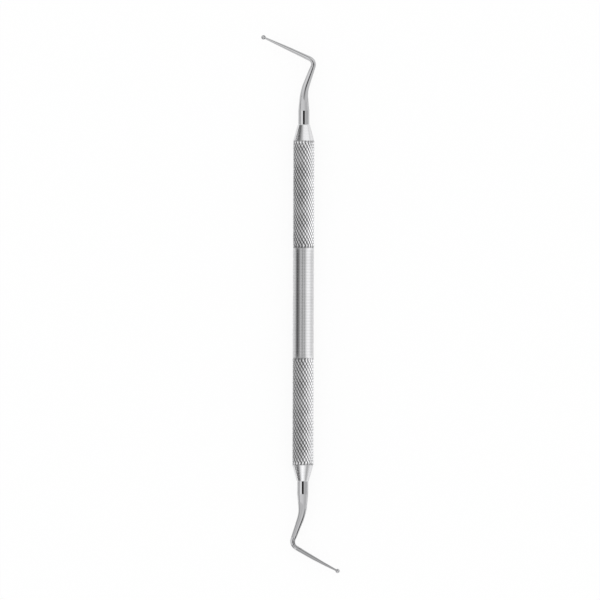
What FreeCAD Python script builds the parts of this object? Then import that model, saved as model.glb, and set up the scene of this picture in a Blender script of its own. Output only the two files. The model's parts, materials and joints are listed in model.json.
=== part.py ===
import FreeCAD, Part

import math
import os
from FreeCAD import Vector

# A double-ended dental spoon excavator, lying flat as on a tray.
# +Y runs along the handle to the upper end, +X to the right and +Z up. The origin is on the handle's axis,
# in the middle of the smooth band. Both working ends are bent in the plane z = 0.

# ---------------------------------------------------------------- driving dimensions, millimetres and degrees

# handle tube
HANDLE_DIAMETER = 6.5
TUBE_LENGTH = 101.0
TUBE_BORE = 4.3
SMOOTH_BAND_LENGTH = 34.2

# diamond knurl on both sides of the smooth band
KNURL_PITCH = 1.02            # round the handle, from one crest to the next
KNURL_HELIX_ANGLE = 30.0      # between a groove and the handle's axis
KNURL_RISE = 0.04             # crests over the smooth band
KNURL_DEPTH = 0.30            # from crest to groove
KNURL_LAND_DROP = 0.05        # the plain rim at each end of a band, below the smooth band

# ferrules, pressed into the tube
CONE_LENGTH = 5.0
CONE_TIP_DIAMETER = 3.85
CONE_TIP_CHAMFER = 0.16       # across the end face
CONE_TIP_CHAMFER_LENGTH = 0.25
SPIGOT_LENGTH = 6.0

# working ends, pressed into the ferrules
TANG_DIAMETER = 2.4
TANG_LENGTH = 9.0
NECK_DIAMETER = 3.36
NECK_LENGTH = 4.2
BEND_DIAMETER = 2.32          # of the shank at the middle of its gentle bend
CORNER_DIAMETER = 1.58        # at the middle of the sharp corner
BLADE_MIDDLE_DIAMETER = 1.18
BLADE_TIP_DIAMETER = 0.64
BEND_RADIUS = 14.0

# round spoons at the blades' tips
SPOON_DIAMETER = 1.4
SPOON_BACK_DEPTH = 0.35       # below the blade's centre line
SPOON_RIM_HEIGHT = 0.33       # above it
SPOON_RIM_WIDTH = 0.11
SPOON_NECK_LENGTH = 0.8       # the straight end of the blade, into the spoon
DISH_DEPTH = 0.32

# the two ends are bent by hand and differ a little
UPPER_END = {
    "bend_at": 10.3,          # along the axis, from the ferrule to the gentle bend
    "lean": 20.0,             # of the shank from the axis, away from the blade's side
    "corner_at": 19.7,        # along the axis, from the ferrule to the corner
    "corner_radius": 1.9,
    "blade_angle": 65.4,      # between the blade and the axis
    "blade_length": 17.65,    # from the corner to the spoon's centre
    "blade_bow": 1.0,         # turn of the blade along its length
}
LOWER_END = {
    "bend_at": 9.8,
    "lean": 19.8,
    "corner_at": 19.7,
    "corner_radius": 1.5,
    "blade_angle": 60.8,
    "blade_length": 16.6,
    "blade_bow": 4.0,
}

# clearances that keep the press fits just clear of each other, per side
SPIGOT_CLEARANCE = 0.01
TANG_CLEARANCE = 0.01

# how finely the shank's curves are divided
BEND_STEPS = 3
CORNER_STEPS = 6
BLADE_STEPS = 2

# ---------------------------------------------------------------- places that follow from them

TUBE_END = TUBE_LENGTH / 2
BAND_END = SMOOTH_BAND_LENGTH / 2
FERRULE_FACE = TUBE_END + CONE_LENGTH
ORIGIN = Vector(0, 0, 0)
HANDLE_AXIS = Vector(0, 1, 0)
UP = Vector(0, 0, 1)


def rod(radius, start, end):
    """A cylinder on the handle's axis."""
    return Part.makeCylinder(radius, end - start, Vector(0, start, 0), HANDLE_AXIS)


def turned(outline):
    """A solid turned about the handle's axis from an outline of (radius, place along the axis)."""
    corners = [Vector(radius, along, 0) for radius, along in outline]
    face = Part.Face(Part.makePolygon(corners + corners[:1]))
    return face.revolve(ORIGIN, HANDLE_AXIS, 360)


def other_end(shape):
    """The same shape at the lower end of the handle."""
    copy = shape.copy()
    copy.rotate(ORIGIN, UP, 180)
    return copy


# ---------------------------------------------------------------- handle tube


def knurled_rod(start, end):
    """A rod whose skin is a diamond knurl: crests and groove crossings alternate on a grid round the axis."""
    starts = round(math.pi * HANDLE_DIAMETER / KNURL_PITCH)
    columns = 2 * starts
    lead_step = KNURL_PITCH / 2 / math.tan(math.radians(KNURL_HELIX_ANGLE))
    rows = round((end - start) / lead_step)
    crest = HANDLE_DIAMETER / 2 + KNURL_RISE
    land = HANDLE_DIAMETER / 2 - KNURL_LAND_DROP

    def is_crest(column, row):
        return (column + row) % 2 == 0

    corners = {}
    for row in range(rows + 1):
        along = start + (end - start) * row / rows
        for column in range(columns):
            radius = crest if is_crest(column, row) else crest - KNURL_DEPTH
            if row in (0, rows):
                radius = land
            angle = 2 * math.pi * column / columns
            place = Vector(radius * math.cos(angle), along, radius * math.sin(angle))
            corners[column, row] = Part.Vertex(place)

    edges = {}

    def edge(a, b):
        key = (min(a, b), max(a, b))
        if key not in edges:
            edges[key] = Part.Edge(corners[key[0]], corners[key[1]])
        return edges[key]

    def flank(a, b, c):
        return Part.Face(Part.Wire([edge(a, b), edge(b, c), edge(c, a)]))

    faces = []
    for row in range(rows):
        for column in range(columns):
            beside = (column + 1) % columns
            here, right = (column, row), (beside, row)
            above, across = (column, row + 1), (beside, row + 1)
            # a groove runs between the two corners of the cell that are not crests
            if is_crest(column, row):
                faces += [flank(here, right, above), flank(across, above, right)]
            else:
                faces += [flank(right, across, here), flank(above, here, across)]
    for row in (0, rows):
        rim = [edge((column, row), ((column + 1) % columns, row)) for column in range(columns)]
        faces.append(Part.Face(Part.Wire(rim)))
    skin = Part.Shell(faces)
    skin.sewShape()
    return Part.Solid(skin)


def handle_tube():
    lower_grip = knurled_rod(-TUBE_END, -BAND_END)
    upper_grip = knurled_rod(BAND_END, TUBE_END)
    smooth_band = rod(HANDLE_DIAMETER / 2, -BAND_END, BAND_END)
    bore = rod(TUBE_BORE / 2, -TUBE_END, TUBE_END)
    return smooth_band.fuse([lower_grip, upper_grip]).cut(bore)


# ---------------------------------------------------------------- ferrules


def ferrule():
    """The upper ferrule: a cone that seats on the tube's end, with its spigot in the tube's bore."""
    spigot = TUBE_BORE / 2 - SPIGOT_CLEARANCE
    bore = TANG_DIAMETER / 2 + TANG_CLEARANCE
    spigot_end = TUBE_END - SPIGOT_LENGTH
    return turned(
        [
            (bore, spigot_end),
            (spigot, spigot_end),
            (spigot, TUBE_END),
            (HANDLE_DIAMETER / 2, TUBE_END),
            (CONE_TIP_DIAMETER / 2, FERRULE_FACE - CONE_TIP_CHAMFER_LENGTH),
            (CONE_TIP_DIAMETER / 2 - CONE_TIP_CHAMFER, FERRULE_FACE),
            (bore, FERRULE_FACE),
        ]
    )


# ---------------------------------------------------------------- working ends


class Route:
    """A centre line walked in the plane z = 0, as places to put sections. Its heading is the turn from +Y to -X."""

    def __init__(self, start):
        self.place = start
        self.heading = 0.0
        self.length = 0.0
        self.sections = [(self.length, self.place, self.direction())]

    def direction(self, ahead=0.0):
        turn = math.radians(self.heading + ahead)
        return Vector(-math.sin(turn), math.cos(turn), 0)

    def walk(self, length, turn=0.0, steps=1):
        """A straight line, or an arc that turns evenly, with a section after each step."""
        run, swing = length / steps, turn / steps
        half = math.radians(swing / 2)
        chord = run * math.sin(half) / half if swing else run
        for _ in range(steps):
            self.place = self.place + self.direction(swing / 2) * chord
            self.heading += swing
            self.length += run
            self.sections.append((self.length, self.place, self.direction()))


def between(stations, distance):
    """The diameter at a distance along the route, from stations of (distance, diameter)."""
    for (start, first), (end, last) in zip(stations, stations[1:]):
        if distance <= end:
            return first + (last - first) * (distance - start) / (end - start)
    return stations[-1][1]


def shank(end):
    """The tapered shank and blade of the upper end, and the centre of the spoon at the blade's tip."""
    lean, corner = end["lean"], end["lean"] + end["blade_angle"] - end["blade_bow"] / 2
    leg = (end["corner_at"] - end["bend_at"]) / math.cos(math.radians(lean))
    bend_reach = BEND_RADIUS * math.tan(math.radians(lean / 2))
    corner_reach = end["corner_radius"] * math.tan(math.radians(corner / 2))
    bend_run = BEND_RADIUS * math.radians(lean)
    corner_run = end["corner_radius"] * math.radians(corner)
    blade_run = end["blade_length"] - corner_reach - SPOON_NECK_LENGTH

    route = Route(Vector(0, FERRULE_FACE + NECK_LENGTH, 0))
    route.walk(end["bend_at"] - bend_reach - NECK_LENGTH)
    route.walk(bend_run, -lean, BEND_STEPS)
    bend_middle = route.length - bend_run / 2
    route.walk(leg - bend_reach - corner_reach)
    route.walk(corner_run, corner, CORNER_STEPS)
    corner_middle = route.length - corner_run / 2
    route.walk(blade_run, end["blade_bow"], BLADE_STEPS)
    blade_middle = route.length - blade_run / 2
    route.walk(SPOON_NECK_LENGTH)

    taper = [
        (0, NECK_DIAMETER),
        (bend_middle, BEND_DIAMETER),
        (corner_middle, CORNER_DIAMETER),
        (blade_middle, BLADE_MIDDLE_DIAMETER),
        (route.length, BLADE_TIP_DIAMETER),
    ]
    circles = [
        Part.Wire(Part.makeCircle(between(taper, distance) / 2, place, direction))
        for distance, place, direction in route.sections
    ]
    return Part.makeLoft(circles, True, True), route.place


def root():
    """The tang, which sits in the ferrule's bore, and the neck, whose shoulder seats on the ferrule's face."""
    tang_end = FERRULE_FACE - TANG_LENGTH
    return turned(
        [
            (0, tang_end),
            (TANG_DIAMETER / 2, tang_end),
            (TANG_DIAMETER / 2, FERRULE_FACE),
            (NECK_DIAMETER / 2, FERRULE_FACE),
            (NECK_DIAMETER / 2, FERRULE_FACE + NECK_LENGTH),
            (0, FERRULE_FACE + NECK_LENGTH),
        ]
    )


def ball_radius(rim_radius, depth):
    """The radius of the ball that meets a plane in a circle of rim_radius and reaches depth below it."""
    return (rim_radius ** 2 + depth ** 2) / (2 * depth)


def with_spoon(blade, centre, open_side):
    """The blade with a small round bowl at its tip, open towards open_side, a unit vector along Z."""
    back = ball_radius(SPOON_DIAMETER / 2, SPOON_RIM_HEIGHT + SPOON_BACK_DEPTH)
    dish = ball_radius(SPOON_DIAMETER / 2 - SPOON_RIM_WIDTH, DISH_DEPTH)
    rim_centre = centre + open_side * SPOON_RIM_HEIGHT
    ball = Part.makeSphere(back, centre + open_side * (back - SPOON_BACK_DEPTH))
    over_rim = Part.makeCylinder(SPOON_DIAMETER, SPOON_DIAMETER, rim_centre, open_side)
    hollow = Part.makeSphere(dish, rim_centre + open_side * (dish - DISH_DEPTH))
    return blade.fuse(ball.cut(over_rim)).cut(hollow)


def working_end(end, open_side):
    """A whole working end, at the upper end of the handle."""
    blade, spoon_centre = shank(end)
    return root().fuse(with_spoon(blade, spoon_centre, open_side))


# ---------------------------------------------------------------- the five pieces


def main():
    pieces = {
        "handle_tube": handle_tube(),
        "upper_ferrule": ferrule(),
        "lower_ferrule": other_end(ferrule()),
        "upper_working_end": working_end(UPPER_END, UP),
        "lower_working_end": other_end(working_end(LOWER_END, -UP)),
    }
    os.makedirs("parts", exist_ok=True)
    for name, shape in pieces.items():
        if len(shape.Solids) != 1 or not shape.isValid():
            raise RuntimeError(f"{name} is not one sound solid")
        shape.Solids[0].exportStep(f"parts/{name}.step")
        print(name, "volume", round(shape.Volume, 2), "mm3")


main()
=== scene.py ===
"""Models a double-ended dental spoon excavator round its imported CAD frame, on a pale surface."""

import json
import math

import bpy
from bpy.props import FloatProperty, FloatVectorProperty, IntProperty, PointerProperty
from bpy.types import Operator, Panel, PropertyGroup
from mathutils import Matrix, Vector


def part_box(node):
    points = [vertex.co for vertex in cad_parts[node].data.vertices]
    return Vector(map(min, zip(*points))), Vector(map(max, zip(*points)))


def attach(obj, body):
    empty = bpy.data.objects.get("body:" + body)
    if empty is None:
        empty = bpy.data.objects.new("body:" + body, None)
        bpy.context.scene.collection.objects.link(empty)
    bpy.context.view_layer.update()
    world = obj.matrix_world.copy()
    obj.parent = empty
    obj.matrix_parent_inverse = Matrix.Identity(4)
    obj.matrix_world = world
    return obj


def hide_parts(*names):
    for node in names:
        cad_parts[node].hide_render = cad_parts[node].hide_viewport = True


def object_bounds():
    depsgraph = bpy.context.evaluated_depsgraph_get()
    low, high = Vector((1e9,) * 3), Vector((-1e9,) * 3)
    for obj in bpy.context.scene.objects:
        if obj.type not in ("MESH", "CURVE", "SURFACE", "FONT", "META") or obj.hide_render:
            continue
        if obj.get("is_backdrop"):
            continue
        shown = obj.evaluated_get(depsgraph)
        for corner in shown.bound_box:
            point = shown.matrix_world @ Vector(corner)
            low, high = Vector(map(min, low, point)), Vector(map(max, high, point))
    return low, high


bl_info = {
    "name": "Spoon Excavator",
    "version": (1, 0, 0),
    "blender": (4, 5, 0),
    "location": "View3D > Sidebar > Excavator",
    "description": "Models a double-ended dental spoon excavator",
    "category": "Add Mesh",
}

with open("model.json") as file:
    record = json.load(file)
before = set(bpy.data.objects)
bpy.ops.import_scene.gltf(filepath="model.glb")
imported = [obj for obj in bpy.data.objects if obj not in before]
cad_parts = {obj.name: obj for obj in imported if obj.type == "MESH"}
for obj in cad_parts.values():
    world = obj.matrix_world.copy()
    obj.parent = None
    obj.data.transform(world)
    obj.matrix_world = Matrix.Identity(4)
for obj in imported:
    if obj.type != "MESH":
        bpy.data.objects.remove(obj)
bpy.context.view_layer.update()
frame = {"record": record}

MM = 0.001
TOUCH = 0.00001  # two places closer than this are the same place
SMOOTH_BELOW = math.radians(30)  # edges that turn by less are shaded smooth

# ------------------------ places that the frame gives

BAND = next(mount for mount in frame["record"]["mounts"] if mount["name"] == "smooth_band")
HANDLE_RADIUS = BAND["dims"]["r_mm"] * MM
BAND_END = BAND["dims"]["length_mm"] * MM / 2
CREST_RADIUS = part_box("handle_tube")[1].z
TUBE_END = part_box("handle_tube")[1].y
SPIGOT_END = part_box("upper_ferrule")[0].y
FERRULE_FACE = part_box("upper_ferrule")[1].y
TANG_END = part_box("upper_working_end")[0].y


# ------------------------ sizes and finishes that a user may change


def length(name, default_mm, description):
    return FloatProperty(
        name=name, description=description, default=default_mm * MM, precision=5, unit="LENGTH"
    )


def turn(name, default_degrees, description):
    default = math.radians(default_degrees)
    return FloatProperty(name=name, description=description, default=default, unit="ROTATION")


def share(name, default, description):
    return FloatProperty(
        name=name, description=description, default=default, min=0, max=1, subtype="FACTOR"
    )


def number(name, default, description):
    return FloatProperty(name=name, description=description, default=default, min=0)


def count(name, default, least, description):
    return IntProperty(name=name, description=description, default=default, min=least)


def colour(name, default, description):
    return FloatVectorProperty(
        name=name, description=description, default=default, size=3, min=0, max=1, subtype="COLOR"
    )


class GripSizes(PropertyGroup):
    """The handle tube: a smooth middle band between two bands of diamond knurl."""

    starts: count("Knurl starts", 20, 6, "Grooves of each hand round the handle")
    diamonds: count("Knurl length", 19, 2, "Diamonds along each knurled band")
    groove_depth: length("Groove depth", 0.28, "From the knurl's crests to the bottom of its grooves")
    second_depth: length("Second groove depth", 0.22, "Depth of the grooves of the other hand")
    crest_rise: length("Crest rise", 0.05, "How far the knurl's crests stand above the plain solid's")
    flat: share("Flat", 0.14, "The flat top of a diamond, as a share of its width")
    edge: length("Worn edge", 0.02, "How far the knurl's sharp edges are rounded")
    land_drop: length("Land drop", 0.07, "How far the knurl's end rims lie below the smooth band")
    band_chamfer: length("Band chamfer", 0.1, "Chamfer at both ends of the smooth band")
    bore_radius: length("Bore radius", 2.15, "Radius of the tube's bore")
    facets: count("Facets", 144, 24, "Sides of the smooth band")
    bore_facets: count("Bore facets", 48, 12, "Sides of the bore")


class FerruleSizes(PropertyGroup):
    """The two turned ferrules that close the tube and hold the working ends."""

    tip_radius: length("Tip radius", 1.925, "Radius of the cone at its narrow end")
    tip_chamfer: length("Tip chamfer", 0.16, "Chamfer of the narrow end, across its face")
    tip_chamfer_length: length("Tip chamfer length", 0.25, "Chamfer of the narrow end, along the axis")
    spigot_radius: length("Spigot radius", 2.14, "Radius of the spigot in the tube's bore")
    bore_radius: length("Bore radius", 1.21, "Radius of the bore that holds the tang")
    edge: length("Edge", 0.03, "How far the turned edges are broken")
    facets: count("Facets", 128, 24, "Sides of a ferrule")


class ShankSizes(PropertyGroup):
    """What the two working ends have in common."""

    tang_radius: length("Tang radius", 1.2, "Radius of the tang in the ferrule")
    neck_radius: length("Neck radius", 1.71, "Radius of the parallel neck at the ferrule")
    neck_edge: length("Neck edge", 0.15, "Length over which the neck turns into the taper")
    bend_radius: length("Radius at the bend", 1.16, "Radius of the shank at its gentle bend")
    corner_radius: length("Radius at the corner", 0.75, "Radius of the shank at its sharp corner")
    blade_radius: length("Radius of the blade", 0.59, "Radius at the blade's middle")
    tip_radius: length("Radius at the tip", 0.32, "Radius of the blade where it meets the spoon")
    bend_line: length("Bend", 14.0, "Radius of the gentle bend's centre line")
    spoon_neck: length("Spoon neck", 0.8, "Straight end of the blade, into the spoon")
    spoon_radius: length("Spoon radius", 0.7, "Radius of the spoon's rim")
    back_depth: length("Back depth", 0.35, "The spoon's back below the blade's centre line")
    rim_height: length("Rim height", 0.33, "The spoon's rim above the blade's centre line")
    rim_width: length("Rim width", 0.11, "Width of the spoon's rim")
    rim_edge: length("Rim edge", 0.04, "How far both edges of the spoon's rim are rounded")
    dish_depth: length("Dish depth", 0.32, "Depth of the spoon's hollow")
    facets: count("Facets", 48, 12, "Sides of a shank and a spoon")
    spoon_rings: count("Spoon rings", 32, 8, "Rings of a spoon's ball")


class UpperBends(PropertyGroup):
    """How the upper working end is bent, measured from the ferrule's face."""

    neck_length: length("Neck length", 4.2, "Length of the parallel neck")
    bend_at: length("Bend at", 10.3, "Where the gentle bend is, along the handle's axis")
    lean: turn("Lean", 20.0, "Lean of the shank beyond the gentle bend")
    corner_at: length("Corner at", 19.7, "Where the sharp corner is, along the handle's axis")
    corner_line: length("Corner", 1.9, "Radius of the corner's centre line")
    blade_angle: turn("Blade angle", 65.4, "Between the blade and the handle's axis")
    blade_length: length("Blade length", 17.65, "From the corner to the spoon's centre")
    blade_bow: turn("Blade bow", 1.0, "Turn of the blade along its length")


class LowerBends(PropertyGroup):
    """How the lower working end is bent, measured from the ferrule's face."""

    neck_length: length("Neck length", 3.9, "Length of the parallel neck")
    bend_at: length("Bend at", 9.8, "Where the gentle bend is, along the handle's axis")
    lean: turn("Lean", 19.8, "Lean of the shank beyond the gentle bend")
    corner_at: length("Corner at", 19.7, "Where the sharp corner is, along the handle's axis")
    corner_line: length("Corner", 2.2, "Radius of the corner's centre line")
    blade_angle: turn("Blade angle", 60.8, "Between the blade and the handle's axis")
    blade_length: length("Blade length", 16.6, "From the corner to the spoon's centre")
    blade_bow: turn("Blade bow", 4.0, "Turn of the blade along its length")


class SteelFinish(PropertyGroup):
    """Colour and finish of the stainless steel, with the shade and highlight painted on its knurl."""

    satin: colour("Satin steel", (0.70, 0.70, 0.71), "Colour of the knurled and turned handle")
    turned: colour("Turned steel", (0.76, 0.76, 0.77), "Colour of the ferrules")
    polished: colour("Polished steel", (0.56, 0.56, 0.57), "Colour of the shanks and spoons")
    satin_roughness: share("Satin roughness", 0.25, "Roughness of the smooth band")
    knurl_roughness: share("Knurl roughness", 0.22, "Roughness of the knurl's flanks")
    turned_roughness: share("Turned roughness", 0.17, "Roughness of the ferrules")
    polished_roughness: share("Polished roughness", 0.06, "Roughness of the shanks and spoons")
    ring_pitch: length("Ring pitch", 0.95, "Spacing of the turning marks that still show")
    ring_share: share("Rings", 0.35, "How much of the turned steel's uneven colour is in its rings")
    # painted shade in the knurl's grooves and a painted highlight on its crests, both in the steel's colour
    groove_painted_shade: number("Groove tint", 0.06, "Brightness of the knurl's grooves, where 1 is plain steel")
    crest_painted_highlight: number("Crest tint", 1.34, "Brightness of its rubbed crests, on the same scale")


class StageLooks(PropertyGroup):
    """The pale surface, the soft light on it and the camera."""

    surface: colour("Surface", (0.97, 0.97, 0.97), "Colour of the surface under the instrument")
    surface_size: length("Surface size", 4000, "Width of that surface")
    whiteness: share("Whiteness", 0.88, "How little of the instrument's shadow the surface shows")
    whiteness_in_steel: share("Whiteness in steel", 0.3, "The same for the surface seen in the steel")
    sky: number("Sky", 1.0, "Strength of the soft light that steel reflects")
    tent_facets: count("Tent facets", 96, 24, "Sides of a tent of soft light")
    tent_skirt: share("Tent skirt", 0.2, "How far a tent reaches below its axis, as a share of its radius")
    tent_radius: length("Tent radius", 8.0, "Radius of the tents of soft light over the handle")
    shank_tent_radius: length("Shank tent radius", 4.0, "Radius of the tents of soft light over the shanks")
    shank_tent_gap: length("Shank tent gap", 2.0, "How far those tents stay from the shanks' bends")
    fade_length: length("Fade length", 4.0, "Over which those tents' light evens out towards the handle")
    fade_share: share("Fade", 0.75, "How far those tents' light evens out")
    fade_level: share("Fade level", 0.8, "Brightness that it evens out to")
    card_level: share("Card level", 0.04, "Brightness of the grey cards on the left of both ends")
    card_distance: length("Card distance", 6.0, "From the handle's axis to those cards")
    card_top: length("Card top", 1.6, "How far those cards reach above the handle's axis")
    card_height: length("Card height", 1.0, "Height of those cards")
    card_gap: length("Card gap", 1.0, "From the handle to the start of those cards")
    card_reach: length("Card reach", 12.0, "From the ferrule's face to the end of those cards")
    gap_across: turn("Gap across", 19.0, "Half of the dark gap above the instrument, across the handle")
    gap_along: turn("Gap along", 6.3, "Half of the dark gap above the instrument, along the handle")
    gap_edge: turn("Gap edge", 1.15, "Over which the light returns beyond that gap")
    view_width: length("View width", 186.6, "Width of what the camera sees")
    view_roll: turn("View roll", 0.17, "Roll of the camera")
    view_x: length("View centre, across", -1.03, "Where the camera looks, across the handle")
    view_y: length("View centre, along", 0.9, "Where the camera looks, along the handle")
    view_height: length("View height", 400, "How far the camera is above the instrument")
    view_depth: length("View depth", 10000, "How far the camera sees")


# ------------------------ working in edit mode


def leave_edit_mode():
    if bpy.context.object and bpy.context.object.mode != "OBJECT":
        bpy.ops.object.mode_set(mode="OBJECT")


def deselect():
    leave_edit_mode()
    bpy.ops.object.select_all(action="DESELECT")


def select_only(piece):
    deselect()
    piece.select_set(True)
    bpy.context.view_layer.objects.active = piece


def edit_new(name):
    """Names the primitive just added, applies its place to its mesh and opens it, all selected."""
    piece = bpy.context.object
    piece.name = piece.data.name = name
    bpy.ops.object.transform_apply(location=True, rotation=True, scale=True)
    bpy.ops.object.mode_set(mode="EDIT")
    return piece


def along_axis(along):
    """The place on the handle's axis at a distance along it."""
    return Vector((0, along, 0))


def new_ring(name, station, facets):
    """Starts a piece as one ring at a station, which is its place, heading and radius."""
    place, heading, radius = station
    deselect()
    bpy.ops.mesh.primitive_circle_add(
        vertices=facets, radius=radius, location=place, rotation=(-math.pi / 2, 0, heading)
    )
    return edit_new(name)


def draw_out(stations):
    """Extrudes the selected ring from the first station to each of the others in turn."""
    for (place, heading, radius), (next_place, next_heading, next_radius) in zip(stations, stations[1:]):
        bpy.ops.mesh.extrude_edges_move(TRANSFORM_OT_translate={"value": next_place - place})
        if next_heading != heading:
            # with no window the operator turns the other way
            bpy.ops.transform.rotate(
                value=heading - next_heading, orient_axis="Z", center_override=next_place
            )
        if next_radius != radius:
            growth = next_radius / radius
            bpy.ops.transform.resize(value=(growth, growth, growth), center_override=next_place)


def pick(kind, test):
    """Selects the open piece's vertices, edges or faces whose corners' places pass a test."""
    mesh = bpy.context.object.data
    bpy.ops.mesh.select_mode(type=kind)
    bpy.ops.mesh.select_all(action="DESELECT")
    bpy.ops.object.mode_set(mode="OBJECT")
    if kind == "VERT":
        for vertex in mesh.vertices:
            vertex.select = test([vertex.co])
    else:
        for part in mesh.edges if kind == "EDGE" else mesh.polygons:
            part.select = test([mesh.vertices[i].co for i in part.vertices])
    bpy.ops.object.mode_set(mode="EDIT")


def off_axis(place):
    """How far a place is from the handle's axis."""
    return math.hypot(place.x, place.z)


def at(along):
    """A test for what lies in the plane square to the handle's axis at a place along it."""
    return lambda places: all(abs(place.y - along) < TOUCH for place in places)


def swell(growth):
    """Moves what is selected away from the handle's axis."""
    bpy.ops.transform.resize(value=(growth, 1, growth), center_override=(0, 0, 0))


def close_between(along):
    """Fills the flat face between the two open rings at a place along the axis."""
    pick("VERT", at(along))
    bpy.ops.mesh.select_mode(type="EDGE")
    bpy.ops.mesh.fill(use_beauty=True)


def close_up():
    """Merges the open piece's doubled corners and turns its faces outwards."""
    bpy.ops.mesh.select_all(action="SELECT")
    bpy.ops.mesh.remove_doubles(threshold=TOUCH / 10)
    bpy.ops.mesh.normals_make_consistent(inside=False)
    bpy.ops.object.mode_set(mode="OBJECT")


def use_modifier(piece, kind, **settings):
    """Adds a modifier and applies it."""
    select_only(piece)
    modifier = piece.modifiers.new(kind.title(), kind)
    for setting, value in settings.items():
        setattr(modifier, setting, value)
    bpy.ops.object.modifier_apply(modifier=modifier.name)


def break_edges(piece, width, segments, sharper_than):
    """Bevels the edges that turn by more than an angle in degrees."""
    angle = math.radians(sharper_than)
    use_modifier(
        piece, "BEVEL", width=width, segments=segments, limit_method="ANGLE", angle_limit=angle
    )


def finish_piece(piece, node):
    """Shades a piece and puts it in the CAD node's place."""
    select_only(piece)
    bpy.ops.object.shade_smooth_by_angle(angle=SMOOTH_BELOW)
    use_modifier(piece, "WEIGHTED_NORMAL", keep_sharp=True)
    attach(piece, "root")
    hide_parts(node)


# ------------------------ steel


def add_node(tree, kind, settings=None, **sockets):
    """Adds a shader node, and sets its inputs or links them to other nodes' outputs.

    Each key in sockets is an input's name, with _ for a space, or its number after _.
    """
    made = tree.nodes.new(f"ShaderNode{kind}")
    for setting, value in (settings or {}).items():
        setattr(made, setting, value)
    for name, value in sockets.items():
        socket = made.inputs[int(name[1:])] if name[0] == "_" else made.inputs[name.replace("_", " ")]
        if isinstance(value, bpy.types.NodeSocket):
            tree.links.new(value, socket)
        else:
            socket.default_value = value
    return made


def calculate(tree, operation, *values):
    """The result of shader arithmetic on up to three values."""
    sockets = {f"_{place}": value for place, value in enumerate(values)}
    return add_node(tree, "Math", {"operation": operation}, **sockets).outputs["Value"]


def new_steel(name, base, roughness, anisotropic=0.0):
    """A plain metal, returned with its tree, its shader and the piece's own coordinates, for a finish."""
    material = bpy.data.materials.new(name)
    material.use_nodes = True
    tree = material.node_tree
    shader = tree.nodes["Principled BSDF"]
    shader.inputs["Metallic"].default_value = 1
    shader.inputs["Base Color"].default_value = (*base, 1)
    shader.inputs["Roughness"].default_value = roughness
    shader.inputs["Anisotropic"].default_value = anisotropic
    place = add_node(tree, "TexCoord").outputs["Object"]
    return material, tree, shader, place


def brushed(tree, place, across, along, detail=3.0):
    """Streaks round the handle: noise of one scale across the handle and a finer one along it."""
    stretched = add_node(tree, "Mapping", Vector=place, Scale=(across, along, across))
    return add_node(
        tree, "TexNoise", Vector=stretched.outputs["Vector"], Scale=1.0, Detail=detail, Roughness=0.6
    ).outputs["Fac"]


def spread(tree, value, low, high, low_in=0.25, high_in=0.75):
    """Brings a pattern's values to the range that a finish needs."""
    ranged = add_node(tree, "MapRange", Value=value, _1=low_in, _2=high_in, _3=low, _4=high)
    return ranged.outputs["Result"]


def tinted(tree, base, value, low, high):
    """The base colour, darker and lighter with a pattern."""
    strength = spread(tree, value, low, high)
    scaled = add_node(tree, "VectorMath", {"operation": "SCALE"}, _0=base, Scale=strength)
    return scaled.outputs["Vector"]


def turned_steel(name, base, roughness, ring_pitch, ring_share, anisotropic):
    """Steel from the lathe: fine rings round the axis, which blur what it reflects along the axis."""
    material, tree, shader, place = new_steel(name, base, roughness, anisotropic)
    streaks = brushed(tree, place, across=90, along=9000)
    drift = brushed(tree, place, across=120, along=160, detail=1.0)
    # a wave texture of scale 1 repeats every pi / 10
    rings = add_node(
        tree,
        "TexWave",
        {"bands_direction": "Y"},
        Vector=place,
        Scale=math.pi / (10 * ring_pitch),
        Distortion=0.6,
        Detail=1.0,
        Detail_Scale=40.0,
    ).outputs["Fac"]
    height = calculate(tree, "ADD", rings, streaks)
    bump = add_node(tree, "Bump", Strength=0.35, Distance=0.008 * MM, Height=height)
    marks = add_node(tree, "Mix", _0=ring_share, _2=drift, _3=rings).outputs[0]
    tangent = add_node(tree, "Tangent", {"direction_type": "RADIAL", "axis": "Y"})
    shader.inputs["Anisotropic Rotation"].default_value = 0.25
    tree.links.new(tangent.outputs["Tangent"], shader.inputs["Tangent"])
    tree.links.new(bump.outputs["Normal"], shader.inputs["Normal"])
    tree.links.new(tinted(tree, base, marks, low=0.945, high=1.055), shader.inputs["Base Color"])
    tree.links.new(
        spread(tree, streaks, low=roughness * 0.85, high=roughness * 1.15), shader.inputs["Roughness"]
    )
    return material


def knurled_steel(name, base, roughness, groove, crest):
    """Rolled knurl: dull grooves darkened with painted shade and crests lightened with a painted highlight,
    both given as radius and brightness.
    """
    (groove_radius, groove_painted_shade), (crest_radius, crest_painted_highlight) = groove, crest
    material, tree, shader, place = new_steel(name, base, roughness)
    across = add_node(tree, "VectorMath", {"operation": "MULTIPLY"}, _0=place, _1=(1, 0, 1))
    from_axis = add_node(tree, "VectorMath", {"operation": "LENGTH"}, _0=across.outputs["Vector"])
    grain = add_node(tree, "TexNoise", Vector=place, Scale=2600.0, Detail=3.0).outputs["Fac"]
    wear = add_node(tree, "TexNoise", Vector=place, Scale=220.0, Detail=2.0).outputs["Fac"]
    # painted shade towards the grooves and a painted highlight towards the crests, by distance from the
    # axis, with random wear added
    height = spread(tree, from_axis.outputs["Value"], 0.0, 1.0, groove_radius, crest_radius)
    painted_light_and_wear = calculate(tree, "MULTIPLY_ADD", wear, 0.3, height)
    # the base colour carries that painted shade and painted highlight
    tree.links.new(tinted(tree, base, painted_light_and_wear, groove_painted_shade, crest_painted_highlight), shader.inputs["Base Color"])
    dullness = spread(tree, painted_light_and_wear, roughness * 1.35, roughness * 0.8, low_in=0.1, high_in=1.1)
    tree.links.new(dullness, shader.inputs["Roughness"])
    bump = add_node(tree, "Bump", Strength=0.3, Distance=0.01 * MM, Height=grain)
    tree.links.new(bump.outputs["Normal"], shader.inputs["Normal"])
    return material


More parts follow.
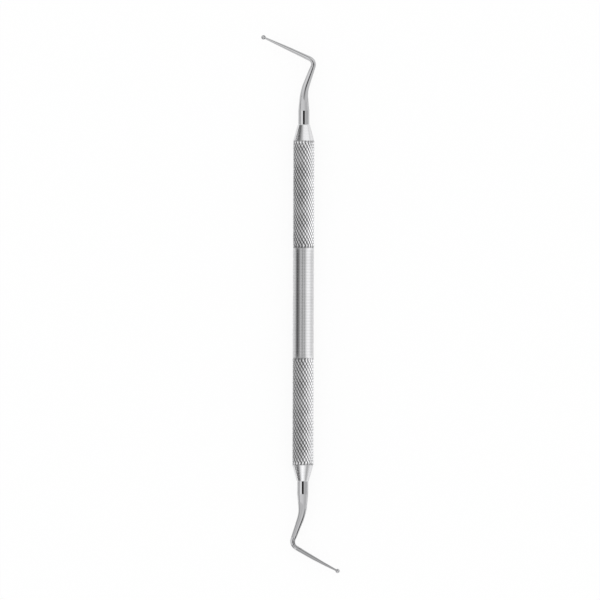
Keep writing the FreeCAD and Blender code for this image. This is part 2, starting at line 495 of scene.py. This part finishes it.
def polished_steel(name, base, roughness):
    """Buffed steel, nearly a mirror, with a faint waviness and hairlines from polishing."""
    material, tree, shader, place = new_steel(name, base, roughness)
    waves = add_node(tree, "TexNoise", Vector=place, Scale=320.0, Detail=1.0).outputs["Fac"]
    hairs = add_node(tree, "TexNoise", Vector=place, Scale=5000.0, Detail=2.0).outputs["Fac"]
    bump = add_node(tree, "Bump", Strength=0.2, Distance=0.02 * MM, Height=waves)
    tree.links.new(bump.outputs["Normal"], shader.inputs["Normal"])
    tree.links.new(
        spread(tree, hairs, low=roughness * 0.7, high=roughness * 1.3), shader.inputs["Roughness"]
    )
    tree.links.new(tinted(tree, base, waves, low=0.97, high=1.02), shader.inputs["Base Color"])
    return material


# ------------------------ handle


def is_second_hand(first, second):
    """Whether an edge winds like the grooves of the second hand, which are those of a right-hand thread."""
    return (first.z * second.x - first.x * second.z) * (second.y - first.y) > 0


def add_diamond_net(name, start, end, root, grip):
    """Opens a new sleeve round the axis whose faces are diamonds, with triangles along both ends."""
    deselect()
    bpy.ops.mesh.primitive_cylinder_add(
        vertices=grip.starts,
        radius=root,
        depth=end - start,
        end_fill_type="NOTHING",
        location=along_axis((start + end) / 2),
        rotation=(-math.pi / 2, 0, 0),
    )
    sleeve = edit_new(name)
    # a net of cells, one groove pitch wide
    pick("EDGE", lambda ends: abs(ends[0].y - ends[1].y) > TOUCH)
    bpy.ops.mesh.subdivide(number_cuts=grip.diamonds - 1)
    bpy.ops.mesh.select_all(action="SELECT")
    bpy.ops.mesh.mark_seam(clear=False)
    # each cell gets a middle, on the same cylinder as its corners
    bpy.ops.mesh.select_mode(type="FACE")
    bpy.ops.mesh.select_all(action="SELECT")
    bpy.ops.mesh.poke()
    dip = math.cos(math.pi / grip.starts)
    pick("VERT", lambda places: off_axis(places[0]) < root * (1 + dip) / 2)
    swell(1 / dip)
    # without the net's own edges, which are its seams, diamonds are left
    bpy.ops.mesh.select_mode(type="EDGE")
    bpy.ops.mesh.select_all(action="DESELECT")
    bpy.ops.object.mode_set(mode="OBJECT")
    corners = sleeve.data.vertices
    for edge in sleeve.data.edges:
        middle = (corners[edge.vertices[0]].co + corners[edge.vertices[1]].co) / 2
        edge.select = edge.use_seam and start + TOUCH < middle.y < end - TOUCH
    bpy.ops.object.mode_set(mode="EDIT")
    bpy.ops.mesh.dissolve_edges(use_verts=False)
    bpy.ops.mesh.select_all(action="SELECT")
    bpy.ops.mesh.mark_seam(clear=True)
    return sleeve


def raise_pyramids(root, grip):
    """Makes a pyramid of each diamond of the open piece, high enough for its flat top to be cut off."""
    bpy.ops.mesh.select_mode(type="FACE")
    bpy.ops.mesh.select_all(action="DESELECT")
    bpy.ops.mesh.select_face_by_sides(number=4, type="EQUAL")
    bpy.ops.mesh.poke()
    middle = root * (1 + math.cos(math.pi / grip.starts)) / 2
    pick("VERT", lambda places: off_axis(places[0]) < (root + middle) / 2)
    rise = grip.groove_depth - grip.second_depth
    swell((root + (grip.groove_depth - grip.flat * rise) / (1 - grip.flat)) / middle)


def raise_second_grooves(root, floor, grip):
    """Raises the open piece's grooves of the second hand to their floor, between those of the first."""
    pick("EDGE", lambda ends: is_second_hand(*ends) and max(map(off_axis, ends)) < root + TOUCH)
    bpy.ops.mesh.subdivide(number_cuts=2)
    # each of those edges is now in three parts, whose joints are this far from the axis
    half_turn = math.pi / grip.starts / 2
    joint = root * math.cos(half_turn) / math.cos(half_turn / 3)
    pick("VERT", lambda places: abs(off_axis(places[0]) - joint) < TOUCH / 5)
    swell(floor / joint)


def knurled_band(name, start, end, grip):
    """An open sleeve of diamonds, each raised from the grooves round it, between two plain rims."""
    crest = CREST_RADIUS + grip.crest_rise
    root = crest - grip.groove_depth
    sleeve = add_diamond_net(name, start, end, root, grip)
    raise_pyramids(root, grip)
    raise_second_grooves(root, crest - grip.second_depth, grip)
    # each pyramid's tip is cut off
    pick("VERT", lambda places: off_axis(places[0]) > crest)
    bpy.ops.mesh.bevel(affect="VERTICES", offset_type="PERCENT", offset_pct=100 * grip.flat)
    for rim in (start, end):
        pick("VERT", at(rim))
        swell((HANDLE_RADIUS - grip.land_drop) / root)
    bpy.ops.object.mode_set(mode="OBJECT")
    return sleeve


def lathe(name, outline, facets):
    """Opens a new piece drawn out along the handle's axis, from rings given as radius and place along it."""
    stations = [(along_axis(along), 0.0, radius) for radius, along in outline]
    piece = new_ring(name, stations[0], facets)
    draw_out(stations)
    return piece


class EXCAVATOR_OT_handle(Operator):
    """Model the handle tube, knurled on both sides of its smooth band"""

    bl_idname = "excavator.handle"
    bl_label = "Handle"

    def execute(self, context):
        grip, finish = context.scene.excavator_grip, context.scene.excavator_finish
        chamfer = grip.band_chamfer
        band = lathe(
            "grip_handle",
            [
                (HANDLE_RADIUS - chamfer / 2, -BAND_END),
                (HANDLE_RADIUS, chamfer - BAND_END),
                (HANDLE_RADIUS, BAND_END - chamfer),
                (HANDLE_RADIUS - chamfer / 2, BAND_END),
            ],
            grip.facets,
        )
        bore = lathe(
            "bore", [(grip.bore_radius, -TUBE_END), (grip.bore_radius, TUBE_END)], grip.bore_facets
        )
        upper = knurled_band("upper_knurl", BAND_END, TUBE_END, grip)
        lower = knurled_band("lower_knurl", -TUBE_END, -BAND_END, grip)
        deselect()
        for part in (bore, upper, lower, band):
            part.select_set(True)
        context.view_layer.objects.active = band
        bpy.ops.object.join()
        bpy.ops.object.mode_set(mode="EDIT")
        for along in (-TUBE_END, -BAND_END, BAND_END, TUBE_END):
            close_between(along)
        close_up()
        break_edges(band, grip.edge, segments=1, sharper_than=20)
        turned = turned_steel(
            "Satin turned steel",
            finish.satin,
            finish.satin_roughness,
            finish.ring_pitch,
            finish.ring_share,
            anisotropic=0.6,
        )
        crest = CREST_RADIUS + grip.crest_rise
        # the knurl's colour holds painted shade in its grooves and a painted highlight on its crests
        knurled = knurled_steel(
            "Knurled steel",
            finish.satin,
            finish.knurl_roughness,
            groove=(crest - grip.groove_depth, finish.groove_painted_shade),
            crest=(crest, finish.crest_painted_highlight),
        )
        band.data.materials.append(turned)
        band.data.materials.append(knurled)
        bpy.ops.object.mode_set(mode="EDIT")
        pick("FACE", lambda places: all(abs(place.y) > BAND_END - TOUCH for place in places))
        band.active_material_index = 1
        bpy.ops.object.material_slot_assign()
        finish_piece(band, "handle_tube")
        return {"FINISHED"}


# ------------------------ ferrules


class EXCAVATOR_OT_ferrules(Operator):
    """Turn the two ferrules, each a cone with a spigot in the tube"""

    bl_idname = "excavator.ferrules"
    bl_label = "Ferrules"

    def execute(self, context):
        sizes, finish = context.scene.excavator_ferrule, context.scene.excavator_finish
        steel = turned_steel(
            "Fine turned steel",
            finish.turned,
            finish.turned_roughness,
            finish.ring_pitch / 2,
            finish.ring_share,
            anisotropic=0.3,
        )
        outline = [
            (sizes.bore_radius, SPIGOT_END),
            (sizes.spigot_radius, SPIGOT_END),
            (sizes.spigot_radius, TUBE_END),
            (HANDLE_RADIUS, TUBE_END),
            (sizes.tip_radius, FERRULE_FACE - sizes.tip_chamfer_length),
            (sizes.tip_radius - sizes.tip_chamfer, FERRULE_FACE),
            (sizes.bore_radius, FERRULE_FACE),
            (sizes.bore_radius, SPIGOT_END),
        ]
        for end, side in (("upper", 1), ("lower", -1)):
            turned_round = [(radius, side * along) for radius, along in outline]
            piece = lathe(f"{end}_cone", turned_round, sizes.facets)
            close_up()
            break_edges(piece, sizes.edge, segments=3, sharper_than=25)
            piece.data.materials.append(steel)
            finish_piece(piece, f"{end}_ferrule")
        return {"FINISHED"}


# ------------------------ working ends


class Route:
    """A centre line walked in the plane z = 0, stop by stop. Its heading is the turn from +Y to -X."""

    def __init__(self, start):
        self.place = start
        self.heading = 0.0
        self.length = 0.0
        self.stops = [(self.length, self.place, self.heading)]

    def direction(self, ahead=0.0):
        return Vector((-math.sin(self.heading + ahead), math.cos(self.heading + ahead), 0))

    def walk(self, distance, turned=0.0, steps=1):
        """A straight line, or an arc that turns evenly, with a stop after each step."""
        run, swing = distance / steps, turned / steps
        chord = run * math.sin(swing / 2) / (swing / 2) if swing else run
        for _ in range(steps):
            self.place = self.place + self.direction(swing / 2) * chord
            self.heading += swing
            self.length += run
            self.stops.append((self.length, self.place, self.heading))


def radius_at(distance, taper):
    """The radius at a distance along the route, from the taper's stops of distance and radius."""
    for (start, first), (end, last) in zip(taper, taper[1:]):
        if distance <= end:
            return first + (last - first) * (distance - start) / (end - start)
    return taper[-1][1]


def shank_stations(bends, sizes):
    """The stations of a tapered shank and its blade, laid out as at the upper end, to the spoon's centre."""
    corner = bends.lean + bends.blade_angle - bends.blade_bow / 2
    leg = (bends.corner_at - bends.bend_at) / math.cos(bends.lean)
    bend_reach = sizes.bend_line * math.tan(bends.lean / 2)
    corner_reach = bends.corner_line * math.tan(corner / 2)
    bend_run = sizes.bend_line * bends.lean
    corner_run = bends.corner_line * corner
    blade_run = bends.blade_length - corner_reach - sizes.spoon_neck

    route = Route(along_axis(FERRULE_FACE + bends.neck_length))
    route.walk(sizes.neck_edge)
    route.walk(bends.bend_at - bend_reach - bends.neck_length - sizes.neck_edge, steps=4)
    route.walk(bend_run, turned=-bends.lean, steps=12)
    bend_middle = route.length - bend_run / 2
    route.walk(leg - bend_reach - corner_reach, steps=6)
    route.walk(corner_run, turned=corner, steps=18)
    corner_middle = route.length - corner_run / 2
    route.walk(blade_run, turned=bends.blade_bow, steps=12)
    blade_middle = route.length - blade_run / 2
    neck_start = route.length
    route.walk(sizes.spoon_neck, steps=4)
    taper = [
        (0, sizes.neck_radius),
        (bend_middle, sizes.bend_radius),
        (corner_middle, sizes.corner_radius),
        (blade_middle, sizes.blade_radius),
        (neck_start, sizes.tip_radius),
        (route.length, sizes.tip_radius),
    ]
    return [(place, heading, radius_at(distance, taper)) for distance, place, heading in route.stops]


def ball_radius(rim_radius, depth):
    """The radius of the ball that meets a plane in a circle of rim_radius and reaches depth below it."""
    return (rim_radius ** 2 + depth ** 2) / (2 * depth)


def add_ball(name, radius, centre, sizes):
    """Adds a ball with as many sides as the spoon needs."""
    deselect()
    bpy.ops.mesh.primitive_uv_sphere_add(
        segments=sizes.facets, ring_count=sizes.spoon_rings, radius=radius, location=centre
    )
    ball = edit_new(name)
    leave_edit_mode()
    return ball


def combine(piece, other, operation):
    """Unites a piece with another, or cuts the other out of it, and removes the other."""
    use_modifier(piece, "BOOLEAN", operation=operation, object=other, solver="EXACT")
    bpy.data.objects.remove(other)


def add_spoon(piece, centre, sizes, side):
    """Adds the round bowl at the blade's tip, open upwards where side is 1 and downwards at -1."""
    up = Vector((0, 0, side))
    back = ball_radius(sizes.spoon_radius, sizes.rim_height + sizes.back_depth)
    dish = ball_radius(sizes.spoon_radius - sizes.rim_width, sizes.dish_depth)
    rim = centre + up * sizes.rim_height
    ball = add_ball("ball", back, centre + up * (back - sizes.back_depth), sizes)
    bpy.ops.object.mode_set(mode="EDIT")
    bpy.ops.mesh.select_all(action="SELECT")
    bpy.ops.mesh.bisect(
        plane_co=rim, plane_no=up, use_fill=True, clear_outer=True, threshold=TOUCH / 100
    )
    leave_edit_mode()
    combine(piece, ball, "UNION")
    hollow = add_ball("hollow", dish, rim + up * (dish - sizes.dish_depth), sizes)
    combine(piece, hollow, "DIFFERENCE")
    bpy.ops.object.mode_set(mode="EDIT")
    pick("EDGE", lambda ends: all(abs(end.z - rim.z) < TOUCH / 10 for end in ends))
    bpy.ops.mesh.bevel(offset=sizes.rim_edge, segments=3, affect="EDGES")
    leave_edit_mode()


class EXCAVATOR_OT_working_ends(Operator):
    """Draw out the two bent shanks and put a spoon on each"""

    bl_idname = "excavator.working_ends"
    bl_label = "Working ends"

    def execute(self, context):
        scene = context.scene
        sizes, finish = scene.excavator_shank, scene.excavator_finish
        steel = polished_steel("Polished steel", finish.polished, finish.polished_roughness)
        for end, bends, side in (("upper", scene.excavator_upper, 1), ("lower", scene.excavator_lower, -1)):
            tang_and_shoulder = [
                (along_axis(TANG_END), 0.0, sizes.tang_radius),
                (along_axis(FERRULE_FACE), 0.0, sizes.tang_radius),
                (along_axis(FERRULE_FACE), 0.0, sizes.neck_radius),
            ]
            stations = tang_and_shoulder + shank_stations(bends, sizes)
            piece = new_ring(f"{end}_excavator_end", stations[0], sizes.facets)
            bpy.ops.mesh.edge_face_add()
            bpy.ops.mesh.select_mode(type="EDGE")
            draw_out(stations)
            bpy.ops.mesh.edge_face_add()
            close_up()
            add_spoon(piece, stations[-1][0], sizes, side)
            if side < 0:
                # both ends are laid out as the upper one, and this one is turned half round about +Z
                bpy.ops.object.mode_set(mode="EDIT")
                bpy.ops.mesh.select_all(action="SELECT")
                bpy.ops.transform.resize(value=(-1, -1, 1), center_override=(0, 0, 0))
                close_up()
            piece.data.materials.append(steel)
            finish_piece(piece, f"{end}_working_end")
        return {"FINISHED"}


# ------------------------ stage


# how bright the soft light over the handle is, as stops of degrees from straight up towards +X and level
BAND_LIGHT = (
    (-98, 0.75), (-85, 0.8), (-70, 0.3), (-58, 0.08), (-48, 0.12), (-32, 0.4), (-20, 0.75),
    (-10, 0.25), (0, 0.65), (12, 0.4), (20, 0.7), (30, 1.1), (55, 1.2), (76, 0.85),
)
KNURL_LIGHT = (
    (-100, 0.5), (-75, 0.45), (-40, 0.5), (0, 0.5), (15, 0.55), (45, 1.2), (75, 1.4), (90, 1.2),
)
# the same over the shanks and blades, from straight up towards the side that faces the upper end
UPPER_LEG_LIGHT = (
    (-100, 0.85), (-78, 0.7), (-55, 1.15), (-25, 1.05), (-7, 0.75),
    (1, 0.02), (21, 0.02), (28, 0.65), (50, 0.9), (95, 0.8),
)
LOWER_LEG_LIGHT = (
    (-100, 0.7), (-80, 0.45), (-62, 0.6), (-48, 0.9), (-20, 0.68), (5, 0.88),
    (30, 0.95), (46, 0.7), (54, 0.02), (74, 0.02), (82, 0.5), (100, 0.8),
)
UPPER_BLADE_LIGHT = (
    (-100, 0.8), (-60, 1.0), (-45, 0.6), (-30, 0.65), (-18, 1.15),
    (8, 1.2), (26, 0.5), (50, 0.45), (70, 0.85), (100, 0.85),
)
LOWER_BLADE_LIGHT = (
    (-100, 0.8), (-80, 0.5), (-50, 0.5), (-20, 0.72), (0, 0.7),
    (25, 0.45), (50, 0.35), (75, 0.6), (100, 0.9),
)
# the same for the sky where the cones, the tapered shanks and the parallel necks reflect it
LOWER_CONE_SKY = (
    (-90, 0.06), (-65, 0.08), (-45, 0.45), (-25, 1.05), (0, 1.35), (25, 1.0), (55, 0.42), (88, 0.8),
)
UPPER_CONE_SKY = (
    (-90, 0.06), (-60, 0.06), (-42, 0.28), (-20, 0.62), (0, 1.05), (35, 1.12), (65, 1.12), (88, 0.85),
)
TAPER_SKY = ((-90, 0.75), (-55, 1.0), (0, 0.95), (40, 0.75), (88, 0.75))
NECK_SKY = ((-90, 0.75), (-68, 0.8), (-56, 1.2), (-18, 1.2), (18, 0.72), (60, 0.7), (88, 0.55))
# rows of the sky, each with the sine of its slope towards the handle's upper end
SKY_ROWS = (
    (-0.75, ((-90, 0.9), (-40, 1.05), (0, 1.05), (40, 0.9), (90, 0.8))),
    (-0.62, LOWER_CONE_SKY),
    (-0.40, LOWER_CONE_SKY),
    (-0.365, TAPER_SKY),
    (-0.12, TAPER_SKY),
    (-0.09, NECK_SKY),
    (0.09, NECK_SKY),
    (0.12, TAPER_SKY),
    (0.365, TAPER_SKY),
    (0.40, UPPER_CONE_SKY),
    (0.62, UPPER_CONE_SKY),
    (0.75, ((-90, 0.8), (-40, 0.9), (0, 0.85), (40, 0.8), (90, 0.7))),
)


def bend_places(bends):
    """A working end's bend, corner and tip, laid out as at the upper end, as if both turns were sharp."""
    bend = along_axis(FERRULE_FACE + bends.bend_at)
    rise = bends.corner_at - bends.bend_at
    corner = bend + Vector((rise * math.tan(bends.lean), rise, 0))
    blade = Vector((-math.sin(bends.blade_angle), math.cos(bends.blade_angle), 0))
    return bend, corner, corner + blade * bends.blade_length


def soft_levels(tree, angle, stops):
    """Levels of light that change smoothly with an angle in radians."""
    share_round = spread(tree, angle, 0, 1, -math.pi, math.pi)
    ramp = add_node(tree, "ValToRGB", Fac=share_round)
    elements = ramp.color_ramp.elements
    while len(elements) < len(stops):
        elements.new(0.5)
    for element, (degrees, level) in zip(elements, stops):
        element.position = degrees / 360 + 0.5
        element.color = grey(level)
    return ramp.outputs["Color"]


def within(tree, value, edge, soft):
    """1 where a value is nearer to 0 than edge, falling to 0 over soft."""
    return spread(tree, calculate(tree, "ABSOLUTE", value), 1.0, 0.0, edge, edge + soft)


def grey(level):
    return (level, level, level, 1)


def blend_levels(tree, share_of_second, first, second):
    """One light turning into a second one."""
    return add_node(
        tree, "Mix", {"data_type": "RGBA"}, _0=share_of_second, _6=first, _7=second
    ).outputs[2]


def show_mix(tree, share_of_second, first, second, output):
    """Shows one shader turning into a second one."""
    mix = add_node(tree, "MixShader", _0=share_of_second, _1=first.outputs[0], _2=second.outputs[0])
    tree.links.new(mix.outputs["Shader"], tree.nodes[output].inputs["Surface"])


class EXCAVATOR_OT_stage(Operator):
    """Lay out the pale surface, the soft light and the camera"""

    bl_idname = "excavator.stage"
    bl_label = "Stage"

    def execute(self, context):
        scene = context.scene
        looks = scene.excavator_stage
        low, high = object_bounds()
        self.add_surface(looks, low.z)
        self.add_sky(looks)
        for name, start, end, light in (
            ("band_tent", -BAND_END, BAND_END, BAND_LIGHT),
            ("upper_tent", BAND_END, TUBE_END, KNURL_LIGHT),
            ("lower_tent", -TUBE_END, -BAND_END, KNURL_LIGHT),
        ):
            self.add_tent(name, along_axis(start), along_axis(end), looks.tent_radius, light, looks)
        self.add_cards(looks)
        self.add_shank_tents("upper", scene.excavator_upper, 1, UPPER_LEG_LIGHT, UPPER_BLADE_LIGHT, looks)
        self.add_shank_tents("lower", scene.excavator_lower, -1, LOWER_LEG_LIGHT, LOWER_BLADE_LIGHT, looks)
        self.add_camera(context, looks, high.z)
        scene.view_settings.view_transform = "Standard"
        return {"FINISHED"}

    def add_shank_tents(self, end, bends, side, leg_light, blade_light, looks):
        """Tents over one working end: over its leg, from the bend to the corner, and over its blade."""
        bend, corner, tip = (side * place for place in bend_places(bends))
        leg_gap = (corner - bend).normalized() * looks.shank_tent_gap
        blade_gap = (tip - corner).normalized() * looks.shank_tent_gap
        for name, start, stop, light in (
            ("leg", bend - leg_gap, corner - leg_gap, leg_light),
            ("blade", corner + blade_gap, tip, blade_light),
        ):
            first, last = (start, stop) if side > 0 else (stop, start)
            tent = self.add_tent(f"{end}_{name}_tent", first, last, looks.shank_tent_radius, light, looks)
            if name == "leg":
                self.fade_tent(tent, side, looks)

    def add_surface(self, looks, height):
        """The surface under the instrument, nearly white, with the instrument's shadow left on it."""
        deselect()
        bpy.ops.mesh.primitive_plane_add(size=looks.surface_size, location=(0, 0, height))
        surface = bpy.context.object
        surface.name = "pale_surface"
        bpy.ops.object.transform_apply(location=True, rotation=True, scale=True)
        material = bpy.data.materials.new("Pale surface")
        material.use_nodes = True
        tree = material.node_tree
        tree.nodes.remove(tree.nodes["Principled BSDF"])
        matt = add_node(tree, "BsdfDiffuse", Color=(*looks.surface, 1))
        white = add_node(tree, "Emission", Color=grey(1), Strength=1.0)
        show_mix(tree, self.whiteness(tree, looks), matt, white, "Material Output")
        surface.data.materials.append(material)
        surface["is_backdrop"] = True

    def whiteness(self, tree, looks):
        """How far the surface shows as white by itself, seen straight, or in steel or glass."""
        paths = add_node(tree, "LightPath").outputs
        straight = calculate(tree, "MULTIPLY", paths["Is Camera Ray"], looks.whiteness)
        through = calculate(tree, "MAXIMUM", paths["Is Glossy Ray"], paths["Is Transmission Ray"])
        return calculate(tree, "MULTIPLY_ADD", through, looks.whiteness_in_steel, straight)

    def add_sky(self, looks):
        """Soft white light from all round. Steel shows its rows instead, and a dark gap for the camera."""
        world = bpy.data.worlds.new("Soft light")
        bpy.context.scene.world = world
        world.use_nodes = True
        tree = world.node_tree
        direction = add_node(
            tree, "SeparateXYZ", Vector=add_node(tree, "TexCoord").outputs["Generated"]
        ).outputs
        angle = calculate(tree, "ARCTAN2", direction["X"], direction["Z"])
        across = soft_levels(tree, angle, SKY_ROWS[0][1])
        for (start, _), (end, stops) in zip(SKY_ROWS, SKY_ROWS[1:]):
            passed = spread(tree, direction["Y"], 0, 1, start, end)
            across = blend_levels(tree, passed, across, soft_levels(tree, angle, stops))
        gap = calculate(
            tree,
            "MULTIPLY",
            within(tree, angle, looks.gap_across, looks.gap_edge),
            within(tree, direction["Y"], math.sin(looks.gap_along), math.sin(looks.gap_edge)),
        )
        seen_in_steel = blend_levels(tree, gap, across, grey(0))
        in_steel = add_node(tree, "LightPath").outputs["Is Glossy Ray"]
        studio = tree.nodes["Background"]
        studio.inputs["Strength"].default_value = looks.sky
        tree.links.new(seen_in_steel, studio.inputs["Color"])
        plain = add_node(tree, "Background", Color=grey(1), Strength=1.0)
        show_mix(tree, in_steel, plain, studio, "World Output")

    def add_tent(self, name, start, end, radius, stops, looks):
        """An open half tube of soft light over a stretch of the instrument, which only steel shows."""
        run = end - start
        deselect()
        bpy.ops.mesh.primitive_cylinder_add(
            vertices=looks.tent_facets,
            radius=radius,
            depth=run.length,
            end_fill_type="NOTHING",
            location=(start + end) / 2,
            rotation=(math.pi / 2, 0, math.atan2(-run.x, run.y)),
        )
        tent = bpy.context.object
        tent.name = name
        bpy.ops.object.mode_set(mode="EDIT")
        # the tent's own y axis points up
        pick("FACE", lambda places: all(place.y < -radius * looks.tent_skirt for place in places))
        bpy.ops.mesh.delete(type="FACE")
        leave_edit_mode()
        material, tree, glow = self.new_glow(name)
        place = add_node(
            tree, "SeparateXYZ", Vector=add_node(tree, "TexCoord").outputs["Object"]
        ).outputs
        angle = calculate(tree, "ARCTAN2", place["X"], place["Y"])
        tree.links.new(soft_levels(tree, angle, stops), glow.inputs["Color"])
        tent.data.materials.append(material)
        tent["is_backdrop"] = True
        return tent

    def fade_tent(self, tent, side, looks):
        """Evens out a tent's light towards its end at the bend."""
        tree = tent.data.materials[0].node_tree
        glow, ramp = tree.nodes["Emission"], tree.nodes["Color Ramp"]
        along = tree.nodes["Separate XYZ"].outputs["Z"]
        bend = side * tent.dimensions.z / 2
        share_even = spread(tree, along, looks.fade_share, 0.0, bend, bend - side * looks.fade_length)
        evened = blend_levels(tree, share_even, ramp.outputs["Color"], grey(looks.fade_level))
        tree.links.new(evened, glow.inputs["Color"])

    def add_cards(self, looks):
        """Upright grey cards along the left of both ends, which only steel shows."""
        material, _, glow = self.new_glow("Grey card")
        glow.inputs["Color"].default_value = grey(looks.card_level)
        start, end = TUBE_END + looks.card_gap, FERRULE_FACE + looks.card_reach
        height = looks.card_top - looks.card_height / 2
        for name, side in (("upper_card", 1), ("lower_card", -1)):
            deselect()
            bpy.ops.mesh.primitive_plane_add(
                size=1,
                location=(-looks.card_distance, side * (start + end) / 2, height),
                rotation=(0, math.pi / 2, 0),
            )
            card = bpy.context.object
            card.name = name
            bpy.ops.transform.resize(value=(1, end - start, looks.card_height))
            bpy.ops.object.transform_apply(location=True, rotation=True, scale=True)
            card.data.materials.append(material)
            card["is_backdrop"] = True

    def new_glow(self, name):
        """A plain glow that only steel shows. The rest sees through it."""
        material = bpy.data.materials.new(name)
        material.use_nodes = True
        tree = material.node_tree
        tree.nodes.remove(tree.nodes["Principled BSDF"])
        glow = add_node(tree, "Emission", Strength=1.0)
        in_steel = add_node(tree, "LightPath").outputs["Is Glossy Ray"]
        show_mix(tree, in_steel, add_node(tree, "BsdfTransparent"), glow, "Material Output")
        return material, tree, glow

    def add_camera(self, context, looks, height):
        """A camera without perspective that looks straight down on the instrument."""
        deselect()
        bpy.ops.object.camera_add(
            location=(looks.view_x, looks.view_y, height + looks.view_height),
            rotation=(0, 0, looks.view_roll),
        )
        camera = context.object
        camera.data.type = "ORTHO"
        camera.data.ortho_scale = looks.view_width
        camera.data.clip_end = looks.view_depth
        context.scene.camera = camera


# ------------------------ sidebar and registration

OPERATORS = (
    EXCAVATOR_OT_handle,
    EXCAVATOR_OT_ferrules,
    EXCAVATOR_OT_working_ends,
    EXCAVATOR_OT_stage,
)
GROUPS = {
    "excavator_grip": GripSizes,
    "excavator_ferrule": FerruleSizes,
    "excavator_shank": ShankSizes,
    "excavator_upper": UpperBends,
    "excavator_lower": LowerBends,
    "excavator_finish": SteelFinish,
    "excavator_stage": StageLooks,
}


class EXCAVATOR_PT_pieces(Panel):
    """The excavator's pieces and their sizes"""

    bl_idname = "EXCAVATOR_PT_pieces"
    bl_label = "Spoon Excavator"
    bl_space_type = "VIEW_3D"
    bl_region_type = "UI"
    bl_category = "Excavator"

    def draw(self, context):
        for operator in OPERATORS:
            self.layout.operator(operator.bl_idname)
        for name, group in GROUPS.items():
            box = self.layout.box()
            box.label(text=group.__name__)
            for size in group.__annotations__:
                box.prop(getattr(context.scene, name), size)


CLASSES = (*GROUPS.values(), *OPERATORS, EXCAVATOR_PT_pieces)


def register():
    for made in CLASSES:
        bpy.utils.register_class(made)
    for name, group in GROUPS.items():
        setattr(bpy.types.Scene, name, PointerProperty(type=group))


def unregister():
    for name in GROUPS:
        delattr(bpy.types.Scene, name)
    for made in reversed(CLASSES):
        bpy.utils.unregister_class(made)


def main():
    register()
    bpy.ops.excavator.handle()
    bpy.ops.excavator.ferrules()
    bpy.ops.excavator.working_ends()
    bpy.ops.excavator.stage()


if __name__ == "__main__":
    main()
